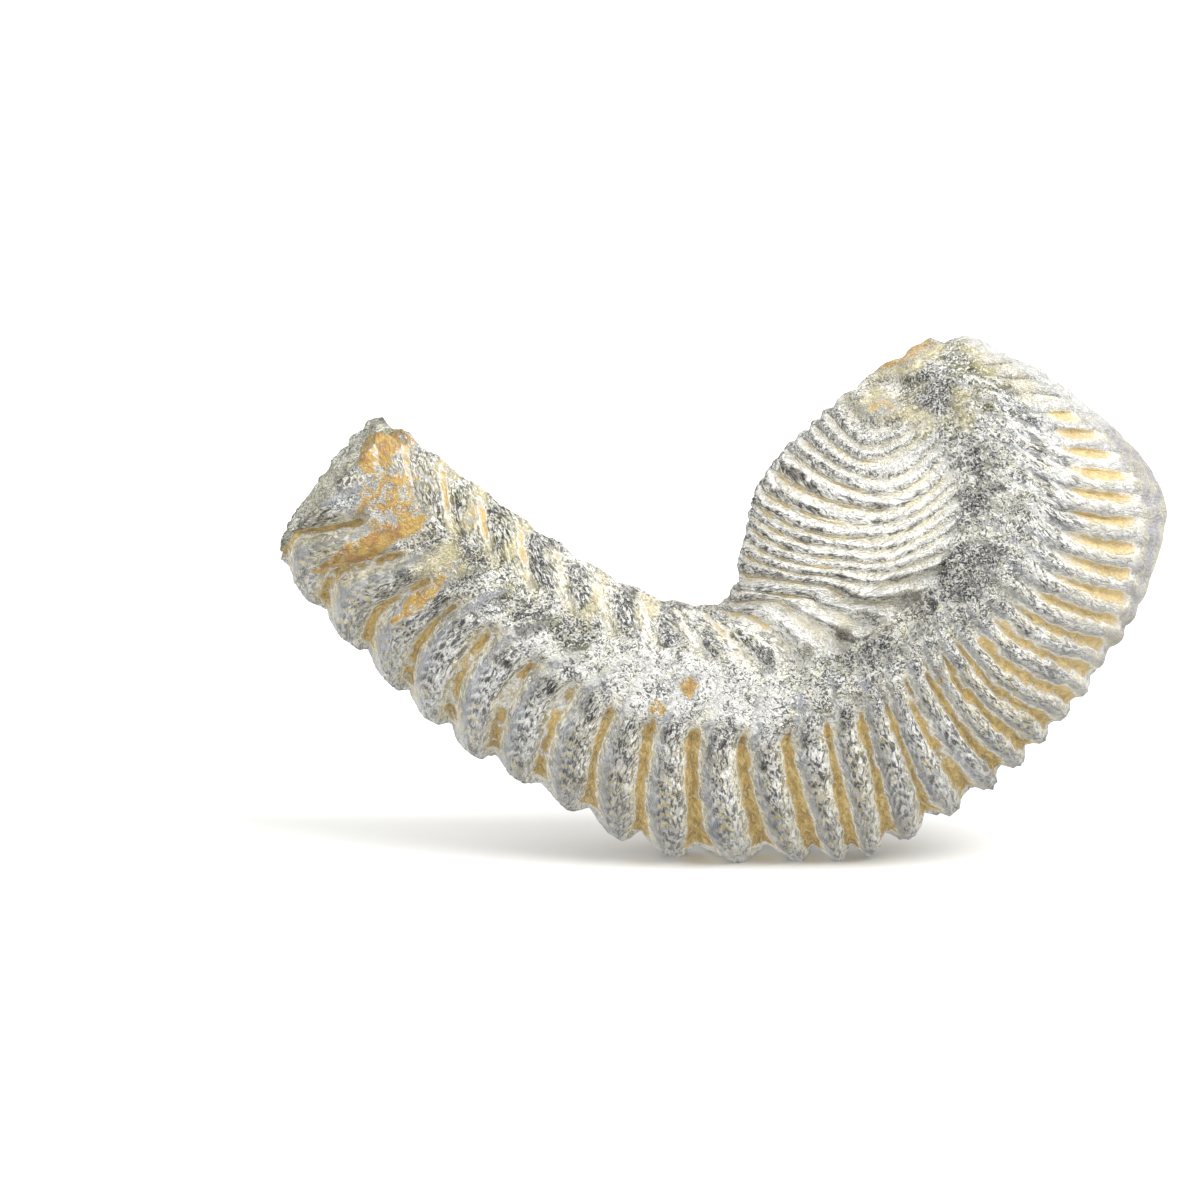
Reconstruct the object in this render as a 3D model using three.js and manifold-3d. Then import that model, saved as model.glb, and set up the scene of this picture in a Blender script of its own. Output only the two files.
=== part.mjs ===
// A zigzag oyster from the Cretaceous, turned to stone: both valves are closed, locked together at the
// zigzag margin and filled with sediment, so the fossil is one solid. The crescent stands on its outer
// margin. Millimetres. +X runs from the broken arm to the lobe, +Y from the front valve to the back
// valve, +Z is up.
import * as THREE from 'three';
import { mergeVertices } from 'three/addons/utils/BufferGeometryUtils.js';
import Module from 'manifold-3d';

// The crescent as it grew, from the umbo to a little past the broken end. Each row is one line across
// the shell: the number of the outer rib there, the number of the inner rib, half the thickness at the
// ridge, where the outer ribs start on the way from the ridge (0) to the margin (1), how much of their
// grooves' depth is left at the margin, and five points as [x, z]: the outer margin, half-way in, the
// ridge along the middle, half-way out, the inner margin.
const growth = [
  {
    rib: 0, innerRib: 0, half: 0.6, ribsFrom: 0.45, tips: 0.6,
    across: [[21.2, 49.4], [20.9, 48.8], [20.6, 48.4], [20.2, 48.6], [19.8, 48.9]],
  },
  {
    rib: 2, innerRib: 1, half: 5.5, ribsFrom: 0.45, tips: 0.6,
    across: [[26.4, 46.9], [22.7, 46.6], [19.8, 46.3], [17.6, 46.1], [16.2, 46.8]],
  },
  {
    rib: 5, innerRib: 2.6, half: 8.5, ribsFrom: 0.42, tips: 0.4,
    across: [[34, 41.8], [26.4, 43.2], [19.8, 44.1], [13.6, 40.1], [10.5, 42.7]],
  },
  {
    rib: 7.5, innerRib: 6.1, half: 10.3, ribsFrom: 0.42, tips: 0.15,
    across: [[38.9, 37], [28.9, 39.6], [20.5, 42], [13.5, 35.5], [6.2, 39]],
  },
  {
    rib: 10, innerRib: 8.6, half: 11.8, ribsFrom: 0.38, tips: 0.1,
    across: [[40.7, 32.1], [30.3, 35.2], [21.9, 39.2], [13.5, 32.5], [3, 34.7]],
  },
  {
    rib: 12.4, innerRib: 11.6, half: 12.8, ribsFrom: 0.3, tips: 0.1,
    across: [[39.2, 26.1], [30.5, 30.3], [22.6, 35.3], [12.2, 29.2], [1.9, 30.6]],
  },
  {
    rib: 15.2, innerRib: 13.9, half: 13.2, ribsFrom: 0.2, tips: 0.5,
    across: [[36.2, 19.9], [28.4, 25.1], [21.9, 30.3], [10.7, 26.9], [1.3, 27.6]],
  },
  {
    rib: 18.2, innerRib: 14.9, half: 13.1, ribsFrom: 0.14, tips: 0.8,
    across: [[31.2, 12.6], [24.2, 19.2], [19.4, 25.9], [8.9, 25.4], [1.2, 25.6]],
  },
  {
    rib: 21.2, innerRib: 15.7, half: 12.8, ribsFrom: 0.12, tips: 0.8,
    across: [[24.4, 6.1], [18, 14.8], [15.4, 22], [6.4, 25.2], [0.6, 24.8]],
  },
  {
    rib: 23.6, innerRib: 16.9, half: 12.2, ribsFrom: 0.18, tips: 0.8,
    across: [[15.1, 0.6], [12.5, 11.3], [10.3, 19], [4.8, 23.6], [0.1, 23.6]],
  },
  {
    rib: 26.1, innerRib: 18.5, half: 11.7, ribsFrom: 0.26, tips: 0.75,
    across: [[6.4, -0.4], [3.2, 9.7], [3.1, 17.6], [0.3, 21.2], [-2.1, 23]],
  },
  {
    rib: 28, innerRib: 20, half: 11.5, ribsFrom: 0.28, tips: 0.75,
    across: [[-5, 0], [-5.6, 10.3], [-3.9, 19.2], [-5.4, 22.2], [-6.5, 24.1]],
  },
  {
    rib: 31, innerRib: 21.8, half: 11.2, ribsFrom: 0.28, tips: 0.8,
    across: [[-19.5, 7], [-17.4, 16.2], [-11.2, 21], [-12.4, 24.9], [-13.3, 27.7]],
  },
  {
    rib: 34, innerRib: 25, half: 10.9, ribsFrom: 0.26, tips: 0.85,
    across: [[-31.6, 16.5], [-28.8, 24.9], [-22.9, 28.8], [-23.8, 32.3], [-24.7, 35.8]],
  },
  {
    rib: 37, innerRib: 28, half: 10.7, ribsFrom: 0.22, tips: 0.9,
    across: [[-42.6, 29], [-39.5, 34.3], [-33, 37.2], [-33.9, 40.4], [-35, 43.5]],
  },
  {
    rib: 39, innerRib: 30, half: 10.7, ribsFrom: 0.2, tips: 0.9,
    across: [[-47.3, 36.5], [-45.8, 41], [-39.2, 41.5], [-40, 45.1], [-41, 48.7]],
  },
];

// The two sides of the ridge: which points of a row are half-way and at the margin, how full the
// section is (2 is an ellipse), how deep the grooves are as a share of the rib spacing, and how far the
// margin zigzags to the front and to the back.
const sides = {
  outer: { middle: 1, margin: 0, fullness: 2.6, reliefOfPitch: 0.34, zigzag: 2.8 },
  inner: { middle: 3, margin: 4, fullness: 2.2, reliefOfPitch: 0.22, zigzag: 2 },
};
const innerRibsFrom = 0.05;
const ribsRise = 0.22; // the way on which a rib comes up to its full height
const tipsFrom = 0.7; // from here to the margin the grooves grow shallower
const ridgePoint = 2;
const zigzagOfHalf = 0.35; // the zigzag is never more than this share of half the thickness
const crestWidth = 0.78; // of the way from a crest to the groove beside it, the rest is packed sediment
const firstRib = 0.5;
const lastRib = 38.5;
const changeRib = 8;
const sectionsPerRib = { umbo: 2, arm: 4 }; // before and after the change
const pointsPerSection = 36;

// The arm ends in a flat break: its middle, and the way the broken face looks.
const breakAt = new THREE.Vector3(-36.6, 0, 34.8);
const breakFacing = new THREE.Vector3(-0.78, -0.08, 0.6).normalize();
// The rib tips that carry the fossil are worn flat this far above the lowest one.
const wear = 0.5;

// Values of the growth rows as smooth curves over the rib number.
function curveOf(valuesOf) {
  const ribs = growth.map((row) => row.rib);
  const values = growth.flatMap(valuesOf);
  return new THREE.CubicInterpolant(ribs, values, values.length / ribs.length);
}
const acrossCurve = curveOf((row) => row.across.flat());
const innerRibCurve = curveOf((row) => [row.innerRib]);
const halfCurve = curveOf((row) => [row.half]);
const ribsCurve = curveOf((row) => [row.ribsFrom, row.tips]);

const innerRibAt = (rib) => innerRibCurve.evaluate(rib)[0];
const halfAt = (rib) => halfCurve.evaluate(rib)[0];
const pointAt = (rib, index) => new THREE.Vector2().fromArray(acrossCurve.evaluate(rib), 2 * index);

// A point of the plane between the valves, on the bowed line from the ridge (0) through the half-way
// point (1/2) to the margin (1).
function acrossLine(side, rib, across) {
  const ridge = pointAt(rib, ridgePoint);
  const middle = pointAt(rib, side.middle);
  const margin = pointAt(rib, side.margin);
  return ridge
    .multiplyScalar((1 - across) * (1 - 2 * across))
    .addScaledVector(middle, 4 * across * (1 - across))
    .addScaledVector(margin, across * (2 * across - 1));
}

// How deep the surface lies below the rib crests, from 0 on a crest to 1 in a groove. The front valve's
// crests follow whole rib numbers and the back valve's lie half a rib on, and a zigzag joins their ends
// at the margin.
function grooveDepth(ribNumber, depth, zigzag) {
  const crestShift = THREE.MathUtils.clamp((depth + zigzag) / (4 * zigzag), 0, 0.5);
  const fromCrest = Math.abs(ribNumber - Math.round(ribNumber));
  const away = Math.abs(fromCrest - crestShift) / 0.5;
  return 0.5 - 0.5 * Math.cos(Math.PI * Math.min(1, away / crestWidth));
}

// How high the ribs stand on the way from the ridge (0) to the margin (1).
function ribHeight(side, rib, across) {
  const [ribsFrom, tips] = ribsCurve.evaluate(rib);
  const from = side === sides.outer ? ribsFrom : innerRibsFrom;
  const rise = THREE.MathUtils.smoothstep(across, from, from + ribsRise);
  const wearsTo = side === sides.outer ? tips : 1;
  const towardsTip = THREE.MathUtils.smoothstep(across, tipsFrom, 1);
  return rise * THREE.MathUtils.lerp(1, wearsTo, towardsTip);
}

// The surface at a rib number and an angle round the section: 0 at the outer margin, a quarter turn on
// at the front ridge, half a turn on at the inner margin.
function surfacePoint(rib, angle) {
  const side = Math.cos(angle) >= 0 ? sides.outer : sides.inner;
  const power = 2 / side.fullness;
  const across = Math.abs(Math.cos(angle)) ** power;
  const half = halfAt(rib);
  const depth = -Math.sign(Math.sin(angle)) * half * Math.abs(Math.sin(angle)) ** power;

  const numberAt = side === sides.outer ? (at) => at : innerRibAt;
  const before = rib - 0.5;
  const after = rib + 0.5;
  const span = acrossLine(side, before, across).distanceTo(acrossLine(side, after, across));
  const pitch = span / (numberAt(after) - numberAt(before));
  const zigzag = Math.min(side.zigzag, zigzagOfHalf * half);
  const groove = grooveDepth(numberAt(rib), depth, zigzag);
  const relief = side.reliefOfPitch * pitch * ribHeight(side, rib, across) * groove;

  // The grooves sink towards the middle of the section.
  const reach = pointAt(rib, ridgePoint).distanceTo(pointAt(rib, side.margin));
  const shrink = 1 - relief / Math.hypot(across * reach, depth);
  const place = acrossLine(side, rib, across * shrink);
  return new THREE.Vector3(place.x, depth * shrink, place.y);
}

// The rib numbers at which the sections lie.
function sectionRibs() {
  const ribs = [];
  let rib = firstRib;
  while (rib <= lastRib) {
    ribs.push(rib);
    rib += 1 / (rib < changeRib ? sectionsPerRib.umbo : sectionsPerRib.arm);
  }
  return ribs;
}

// The whole shell: a closed cylinder whose rings are laid on the sections and whose caps close the two
// ends.
function shellGeometry() {
  const ribs = sectionRibs();
  const lengths = ribs.length - 1;
  const geometry = new THREE.CylinderGeometry(1, 1, 1, pointsPerSection, lengths);
  const { position } = geometry.attributes;
  const point = new THREE.Vector3();
  for (let i = 0; i < position.count; i++) {
    point.fromBufferAttribute(position, i);
    const rib = ribs[Math.round((0.5 - point.y) * lengths)];
    const ridge = pointAt(rib, ridgePoint);
    const isCapCentre = Math.hypot(point.x, point.z) < 0.5;
    const placed = isCapCentre
      ? new THREE.Vector3(ridge.x, 0, ridge.y)
      : surfacePoint(rib, Math.atan2(-point.x, point.z));
    position.setXYZ(i, ...placed);
  }
  return geometry;
}

const wasm = await Module();
wasm.setup();

function solidOf(geometry) {
  geometry.deleteAttribute('normal');
  geometry.deleteAttribute('uv');
  const merged = mergeVertices(geometry);
  return new wasm.Manifold(
    new wasm.Mesh({
      numProp: 3,
      vertProperties: merged.attributes.position.array,
      triVerts: new Uint32Array(merged.index.array),
    }),
  );
}

function geometryOf(solid) {
  const { numProp, vertProperties, triVerts } = solid.getMesh();
  return new THREE.BufferGeometry()
    .setAttribute('position', new THREE.BufferAttribute(vertProperties, numProp))
    .setIndex(new THREE.BufferAttribute(triVerts, 1));
}

// A block that fills everything on the far side of a plane.
function blockBeyond(at, facing) {
  const size = 200; // more than the whole fossil
  const block = new THREE.BoxGeometry(size, size, size).translate(0, 0, size / 2);
  block.applyQuaternion(new THREE.Quaternion().setFromUnitVectors(new THREE.Vector3(0, 0, 1), facing));
  return solidOf(block.translate(...at));
}

function fossilGeometry() {
  const whole = solidOf(shellGeometry()).subtract(blockBeyond(breakAt, breakFacing));
  const lowest = whole.boundingBox().min[2];
  const floor = new THREE.Vector3(0, 0, lowest + wear);
  const geometry = geometryOf(whole.subtract(blockBeyond(floor, new THREE.Vector3(0, 0, -1))));
  // The origin is the middle of the bounding box, on the floor.
  geometry.computeBoundingBox();
  const { min, max } = geometry.boundingBox;
  geometry.translate(-(min.x + max.x) / 2, -(min.y + max.y) / 2, -min.z);
  geometry.computeVertexNormals();
  return geometry;
}

const chalkyShell = new THREE.MeshStandardMaterial({ color: '#cfccc0', roughness: 0.9, metalness: 0 });
const oyster = new THREE.Mesh(fossilGeometry(), chalkyShell);
oyster.name = 'oyster_fossil';

const fossil = new THREE.Group();
fossil.add(oyster);
export default fossil;
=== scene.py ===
# Zigzag oyster turned to stone: both valves are closed, so it is one solid crescent.
# It stands on its worn rib tips, with the broken arm to the left and the lobe to the right.
import math
import bpy
import numpy as np
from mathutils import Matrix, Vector, noise


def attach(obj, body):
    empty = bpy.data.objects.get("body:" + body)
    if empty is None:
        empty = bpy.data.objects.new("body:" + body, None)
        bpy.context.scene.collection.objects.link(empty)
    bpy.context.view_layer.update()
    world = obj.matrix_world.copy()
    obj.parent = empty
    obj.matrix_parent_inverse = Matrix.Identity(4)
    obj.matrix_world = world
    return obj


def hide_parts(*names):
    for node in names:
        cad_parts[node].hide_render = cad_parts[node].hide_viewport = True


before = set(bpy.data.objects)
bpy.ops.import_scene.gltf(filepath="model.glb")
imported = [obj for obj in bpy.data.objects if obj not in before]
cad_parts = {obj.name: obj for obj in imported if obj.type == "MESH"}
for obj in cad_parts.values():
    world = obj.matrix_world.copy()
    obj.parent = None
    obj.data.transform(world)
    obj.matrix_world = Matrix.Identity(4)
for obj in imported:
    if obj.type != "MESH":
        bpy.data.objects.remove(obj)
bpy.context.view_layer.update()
print("frame loaded")


def deselectAll():
    if bpy.context.object and bpy.context.object.mode != "OBJECT":
        bpy.ops.object.mode_set(mode="OBJECT")
    bpy.ops.object.select_all(action="DESELECT")


def smooth(value, low, high):
    part = np.clip((value - low) / (high - low), 0, 1)
    return part * part * (3 - 2 * part)


def mix(a, b, part):
    return a + (b - a) * part


def runningLength(steps):
    return np.concatenate([[0], np.cumsum(steps)])


def lumpNoise(points, size, octaves, seed):
    # lumps this many mm across, about -1 to 1
    away = Vector((seed, 0.37 * seed, -0.61 * seed))
    return np.array([noise.fractal(Vector(p) / size + away, 1.0, 2.0, octaves) for p in points])


def linear(hexColor):
    parts = [int(hexColor[i:i + 2], 16) / 255 for i in (1, 3, 5)]
    return [c / 12.92 if c <= 0.04045 else ((c + 0.055) / 1.055) ** 2.4 for c in parts] + [1]


# One row is one line across the shell, in millimetres: the outer rib's number, the inner rib's number, half
# the thickness, where the outer ribs start (0 ridge, 1 margin), how deep their grooves still are at the
# margin, then x and z of the outer margin, half-way in, the ridge, half-way out and the inner margin.
growthRows = np.array([
    (0, 0, 0.6, 0.45, 0.6, 21.2, 49.4, 20.9, 48.8, 20.6, 48.4, 20.2, 48.6, 19.8, 48.9),
    (2, 1, 5.5, 0.45, 0.6, 26.4, 46.9, 22.7, 46.6, 19.8, 46.3, 17.6, 46.1, 16.2, 46.8),
    (5, 2.6, 8.5, 0.42, 0.4, 34, 41.8, 26.4, 43.2, 19.8, 44.1, 13.6, 40.1, 10.5, 42.7),
    (7.5, 6.1, 10.3, 0.42, 0.15, 38.9, 37, 28.9, 39.6, 20.5, 42, 13.5, 35.5, 6.2, 39),
    (10, 8.6, 11.8, 0.38, 0.1, 40.7, 32.1, 30.3, 35.2, 21.9, 39.2, 13.5, 32.5, 3, 34.7),
    (12.4, 11.6, 12.8, 0.3, 0.1, 39.2, 26.1, 30.5, 30.3, 22.6, 35.3, 12.2, 29.2, 1.9, 30.6),
    (15.2, 13.9, 13.2, 0.2, 0.5, 36.2, 19.9, 28.4, 25.1, 21.9, 30.3, 10.7, 26.9, 1.3, 27.6),
    (18.2, 14.9, 13.1, 0.14, 0.8, 31.2, 12.6, 24.2, 19.2, 19.4, 25.9, 8.9, 25.4, 1.2, 25.6),
    (21.2, 15.7, 12.8, 0.12, 1, 24.4, 6.1, 18, 14.8, 15.4, 22, 6.4, 25.2, 0.6, 24.8),
    (23.6, 16.9, 12.2, 0.18, 1, 15.1, 0.6, 12.5, 11.3, 10.3, 19, 4.8, 23.6, 0.1, 23.6),
    (26.1, 18.5, 11.7, 0.26, 1, 6.4, -0.4, 3.2, 9.7, 3.1, 17.6, 0.3, 21.2, -2.1, 23),
    (28, 20, 11.5, 0.28, 1, -5, 0, -5.6, 10.3, -3.9, 19.2, -5.4, 22.2, -6.5, 24.1),
    (31, 21.8, 11.2, 0.28, 1, -19.5, 7, -17.4, 16.2, -11.2, 21, -12.4, 24.9, -13.3, 27.7),
    (34, 25, 10.9, 0.26, 0.85, -31.6, 16.5, -28.8, 24.9, -22.9, 28.8, -23.8, 32.3, -24.7, 35.8),
    (37, 28, 10.7, 0.22, 0.9, -42.6, 29, -39.5, 34.3, -33, 37.2, -33.9, 40.4, -35, 43.5),
    (39, 30, 10.7, 0.2, 0.9, -47.3, 36.5, -45.8, 41, -39.2, 41.5, -40, 45.1, -41, 48.7),
])

# Where these are in a row, counted after the outer rib's number
column = {
    "innerRib": 0, "half": 1, "start": 2, "tips": 3, "outerMargin": slice(4, 6), "outerMiddle": slice(6, 8),
    "ridge": slice(8, 10), "innerMiddle": slice(10, 12), "innerMargin": slice(12, 14),
}

shell = {
    "segments": 216,
    "rings": 450,
    "frontShare": 0.58,     # of the segments, the front valve has more detail
    "firstRib": 0.5,
    "lastRib": 38.5,
    # Both kinds of rib: how full the section is, relief as a share of the pitch, depth of the zigzag in mm,
    # the width of a rib, and where it starts and over which share of the way out it rises
    "outer": {"fullness": 2.6, "relief": 0.4, "zigzag": 2.8, "width": 0.88, "rise": 0.17},
    "inner": {"fullness": 2.2, "relief": 0.25, "zigzag": 2.0, "width": 0.84, "rise": 0.22, "start": 0.05},
    "fan": {"start": 0.08, "rise": 0.05, "lean": 0.16},
    "zigzagOfHalf": 0.35,   # the zigzag is never deeper than this share of half the thickness
    "deepest": 0.94,        # share of the relief that a groove may reach
    "headDip": 0.28,        # mm, sets off the rounded heads of the fingers
    # rib number and how many mm the back valve's rib tips fall short of the front one's
    "notch": np.array([(15, 0), (19, 0.35), (22, 0.7), (29, 0.9), (32, 0.3), (37, 0.1)]),
    "shift": (0.573, 0.0, 0.0),   # mm, sets the shell in the middle of the frame's box
    "seed": 5,
}

breakEnd = {
    "at": (-36.8, 0.0, 34.95),
    "facing": (-0.765, -0.08, 0.64),
    "rings": 26,            # from the rim of the broken face to its middle
    "chips": 0.4,           # mm, how ragged the rim is
    "rough": 0.35,          # mm, how rough the face is
    "wall": 0.25,           # mm, by which the shell wall stands proud of the fill
}


def growthAt(rib):
    # smooth curve through the rows: a row's slope is the mean of the slopes on its two sides
    ribs, values = growthRows[:, 0], growthRows[:, 1:]
    slopes = np.diff(values, axis=0) / np.diff(ribs)[:, None]
    tangents = np.vstack([slopes[:1], (slopes[1:] + slopes[:-1]) / 2, slopes[-1:]])
    row = np.clip(np.searchsorted(ribs, rib, side="right") - 1, 0, len(ribs) - 2)
    width = (ribs[row + 1] - ribs[row])[..., None]
    t = (rib[..., None] - ribs[row][..., None]) / width
    return (
        (2 * t**3 - 3 * t**2 + 1) * values[row]
        + (t**3 - 2 * t**2 + t) * width * tangents[row]
        + (3 * t**2 - 2 * t**3) * values[row + 1]
        + (t**3 - t**2) * width * tangents[row + 1]
    )


def acrossLine(row, outer, across):
    # ridge 0, half-way 1/2, margin 1
    middle = np.where(outer, row[..., column["outerMiddle"]], row[..., column["innerMiddle"]])
    margin = np.where(outer, row[..., column["outerMargin"]], row[..., column["innerMargin"]])
    across = across[..., None]
    return (
        row[..., column["ridge"]] * (1 - across) * (1 - 2 * across)
        + middle * 4 * across * (1 - across)
        + margin * across * (2 * across - 1)
    )


# How the fan's ribs bend on their way out: inner rib number, then the shift in rib numbers at the margin,
# half-way and by the ridge
fanDrift = np.array([
    (2, 0, 0, 0), (3.5, -0.1, -0.3, -0.35), (4.5, 0, -0.2, -0.35), (5.5, 0.15, -0.2, 0.4),
    (7.5, 0.1, 0, 0.6), (9.5, 0.25, 0.25, 0.7), (11.5, -0.2, -0.1, 1.05), (13.5, -0.25, -0.6, 1.0),
    (15, 0, -0.7, 0.5), (16.5, 0, -0.3, 0), (18, 0, 0, 0),
])

# Each rib's own width, height, start and place, for the outer and the inner side of both valves
rng = np.random.default_rng(shell["seed"])
ribNature = {
    "width": rng.uniform(-0.06, 0.06, (4, 60)),
    "height": rng.uniform(-0.1, 0.12, (4, 60)),
    "start": rng.uniform(-0.04, 0.04, (4, 60)),
    "place": rng.uniform(-0.07, 0.07, (4, 60)),
}


def shellSurface(rib, angle):
    # the surface at a rib number and an angle: 0 outer margin, 90 front ridge, 180 inner margin,
    # 270 back ridge
    turn = np.radians(angle)
    outer = np.cos(turn) >= 0
    front = np.sin(turn) >= 0
    outerPair = outer[..., None]
    fullness = np.where(outer, shell["outer"]["fullness"], shell["inner"]["fullness"])
    across = np.abs(np.cos(turn)) ** (2 / fullness)
    row = growthAt(rib)
    half = row[..., column["half"]]
    depth = -np.sign(np.sin(turn)) * half * np.abs(np.sin(turn)) ** (2 / fullness)

    before, after = growthAt(rib - 0.5), growthAt(rib + 0.5)
    step = acrossLine(after, outerPair, across) - acrossLine(before, outerPair, across)
    span = np.linalg.norm(step, axis=-1)
    pitch = span / np.where(outer, 1, after[..., column["innerRib"]] - before[..., column["innerRib"]])

    # rib numbers, with the bends that the ribs take on the front valve
    fromRidge = np.where(angle <= 180, np.abs(angle - 90), np.abs(angle - 270))   # degrees, 90 at the margin
    slant = smooth(rib, 4, 6) * (1 - smooth(rib, 18, 21))
    lag = slant * (0.6 * np.clip((54 - fromRidge) / 32, 0, 1) - 0.1)
    lag -= 0.7 * smooth(rib, 32.5, 35) * smooth(fromRidge, 50, 10)
    lag -= 0.15 * smooth(rib, 20, 22) * (1 - smooth(rib, 28, 30)) * smooth(fromRidge, 18, 4)
    inner = row[..., column["innerRib"]]
    atMargin, atMiddle, atRidge = (np.interp(inner, fanDrift[:, 0], fanDrift[:, k]) for k in (1, 2, 3))
    drift = np.where(fromRidge > 47, mix(atMiddle, atMargin, smooth(fromRidge, 47, 85)),
                     mix(atRidge, atMiddle, smooth(fromRidge, 18, 40)))
    number = np.where(outer, rib - lag * front, inner - drift * front)

    kind = np.where(outer, 0, 1) + np.where(front, 0, 2)
    nearest = np.clip(np.rint(number).astype(int), 0, 59)
    place = ribNature["place"][kind, nearest] * np.clip(1 - 2 * np.abs(number - np.rint(number)), 0, 1)
    number = number + place * smooth(fromRidge, 80, 60)

    # front crests follow whole numbers, back crests lie half a rib on, and a zigzag joins them at the margin
    zigzag = np.minimum(np.where(outer, shell["outer"]["zigzag"], shell["inner"]["zigzag"]),
                        shell["zigzagOfHalf"] * half)
    crestShift = np.clip((depth + zigzag) / (4 * zigzag), 0, 0.5)
    phase = number - np.rint(number)
    # the ribs of the fan are terraces: their crests lie low and their undersides are steep
    fan = np.where(outer, 0, 1) * front * smooth(inner, 2.2, 3.2) * (1 - smooth(inner, 16.5, 18.5)) \
        * smooth(fromRidge, 4.5, 6.5)
    lean = fan * shell["fan"]["lean"] * (1 - smooth(fromRidge, 72, 86))
    leaning = phase - lean * np.cos(np.pi * phase)
    away = np.abs(np.abs(np.where(crestShift > 0, phase, leaning)) - crestShift) / 0.5

    width = np.where(outer, shell["outer"]["width"], shell["inner"]["width"])
    width = width + ribNature["width"][kind, nearest]
    # a groove is a wave and a rounded valley with steep sides, mixed
    edge = np.clip(away / width, 0, 1)
    groove = 0.45 * (0.5 - 0.5 * np.cos(np.pi * edge)) + 0.55 * (1 - np.sqrt(1 - 0.995 * edge**2.4))
    uneven = ribNature["height"][kind, nearest] * (1 - edge**2)
    groove = groove - uneven

    isFan = fan > 0.01
    start = np.where(isFan, shell["fan"]["start"], shell["inner"]["start"])
    start = np.where(outer, row[..., column["start"]] + ribNature["start"][kind, nearest], start)
    rise = np.where(isFan, shell["fan"]["rise"], shell["inner"]["rise"])
    rise = np.where(outer, shell["outer"]["rise"], rise)
    fade = smooth(across, start, start + rise)
    tips = mix(1, np.where(outer, row[..., column["tips"]], 1), smooth(across, 0.7, 1))
    ratio = np.where(outer, shell["outer"]["relief"], shell["inner"]["relief"])
    relief = ratio * pitch * fade * tips * np.minimum(groove, shell["deepest"])
    # the rounded heads of the fingers are set off by a shallow dip
    headed = np.where(outer, 1, 0) * front * smooth(rib, 22.5, 24.5)
    dip = np.exp(-(((across - start - 0.02 - 0.09 * away**2) / 0.045) ** 2))
    relief = relief + shell["headDip"] * headed * dip * (1 - 0.7 * away)
    # the front valve's finger tips stand proud of the back valve's
    notch = np.interp(rib, shell["notch"][:, 0], shell["notch"][:, 1]) * smooth(np.abs(phase), 0.1, 0.5)
    notch = notch * smooth(across, 0.84, 0.98) * np.where(outer, 1, 0)
    relief = relief + notch * np.clip(1 - relief / 1.9, 0, 1)

    margin = np.where(outerPair, row[..., column["outerMargin"]], row[..., column["innerMargin"]])
    reach = np.linalg.norm(row[..., column["ridge"]] - margin, axis=-1)
    shrink = 1 - relief / np.hypot(across * reach, depth)
    spot = acrossLine(row, outerPair, across * shrink)
    point = np.stack([spot[..., 0], depth * shrink, spot[..., 1]], axis=-1)
    traits = {
        "number": number, "away": away, "across": across, "rib": rib, "inner": inner, "fan": fan,
        "outer": outer.astype(float), "front": front.astype(float), "start": start,
        "mmFromRidge": across * reach, "fromRidge": fromRidge,
        "startAngle": np.degrees(np.arcsin(np.clip(start, 0, 1) ** (fullness / 2))),
    }
    return point, traits


deselectAll()
bpy.ops.mesh.primitive_uv_sphere_add(segments=shell["segments"], ring_count=shell["rings"], radius=1)
fossil = bpy.context.object
fossil.name = "zigzag_oyster"
mesh = fossil.data
places = np.empty(len(mesh.vertices) * 3)
mesh.vertices.foreach_get("co", places)
places = places.reshape(-1, 3)
ringOf = np.rint(np.arccos(np.clip(places[:, 2], -1, 1)) / math.pi * shell["rings"]).astype(int)
segmentOf = np.rint(np.arctan2(places[:, 1], places[:, 0]) / (2 * math.pi) * shell["segments"]).astype(int)
segmentOf %= shell["segments"]
isPole = (ringOf == 0) | (ringOf == shell["rings"])

# Angles of the segments: evenly spaced along a typical section, closer on the front valve
section = {"fullness": 2.5, "widthOfThickness": 1.25}
fine = np.linspace(0, 180, 2001)
sectionX, sectionY = np.cos(np.radians(fine)), np.sin(np.radians(fine))
sectionX = np.sign(sectionX) * np.abs(sectionX) ** (2 / section["fullness"]) * section["widthOfThickness"]
sectionY = np.abs(sectionY) ** (2 / section["fullness"])
length = runningLength(np.hypot(np.diff(sectionX), np.diff(sectionY)))
frontCount = round(shell["segments"] * shell["frontShare"])
backCount = shell["segments"] - frontCount
frontAngles = np.interp(np.arange(frontCount) / frontCount * length[-1], length, fine)
backAngles = 180 + np.interp(np.arange(backCount) / backCount * length[-1], length, fine)
angles = np.concatenate([frontAngles, backAngles])

# Where the break cuts each segment's line, with the rim chipped back a little at both margins
facing = np.array(breakEnd["facing"]) / np.linalg.norm(breakEnd["facing"])
tryRibs = np.linspace(32, shell["lastRib"], 260)
tried, _ = shellSurface(*np.broadcast_arrays(tryRibs[:, None], angles[None, :]))
nearBreak = tried[150]
ragged = breakEnd["chips"] * lumpNoise(nearBreak, 2.2, 3, 4.0)
beyond = (tried - np.array(breakEnd["at"])) @ facing - ragged[None, :]
cutAt = np.argmax(beyond > 0, axis=0)
ends = tryRibs[cutAt]
fromInner = np.abs(angles - 180)
ends = ends - 0.6 * smooth(fromInner, 44, 5) - 0.2 * smooth(180 - fromInner, 30, 5)

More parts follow.
